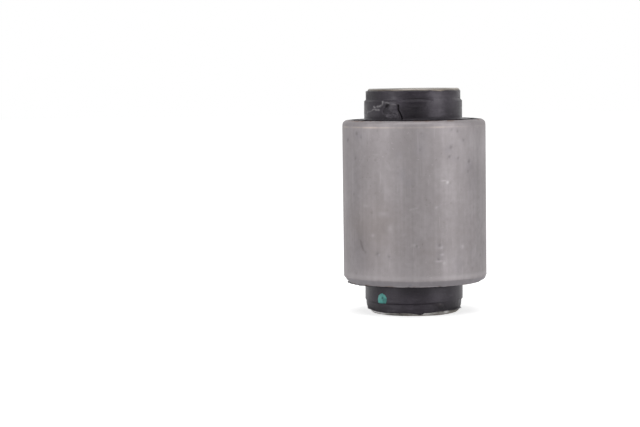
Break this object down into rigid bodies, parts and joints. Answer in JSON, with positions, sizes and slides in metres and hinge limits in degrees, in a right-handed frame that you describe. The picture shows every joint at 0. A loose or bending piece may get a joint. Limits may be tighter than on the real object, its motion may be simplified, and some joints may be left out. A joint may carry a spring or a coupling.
{
  "type": "rubber metal bush",
  "caption": "Bonded rubber bush: steel outer sleeve, rubber body with stepped necks and ring grooves, thick inner sleeve with a bolt bore.",
  "frame": {"origin": "centre of the lower end face of the inner sleeve, at the bottom of the part's box", "axes": "+Z along the bore, from the chamfered end of the outer sleeve to its rounded lead-in; +X to the right and +Y away from the viewer"},
  "size_m": [0.05, 0.05, 0.0781],
  "materials": {
    "sleeve_steel": "dull drawn steel with faint streaks along its length, small pits and scratches",
    "rubber": "matt black moulded rubber, slightly greyed, with ragged edges",
    "inner_steel": "dull machined steel, a little brown with light rust"
  },
  "bodies": {
    "root": {"outer_sleeve": "sleeve_steel", "rubber_body": "rubber", "inner_sleeve": "inner_steel"}
  },
  "joints": []
}
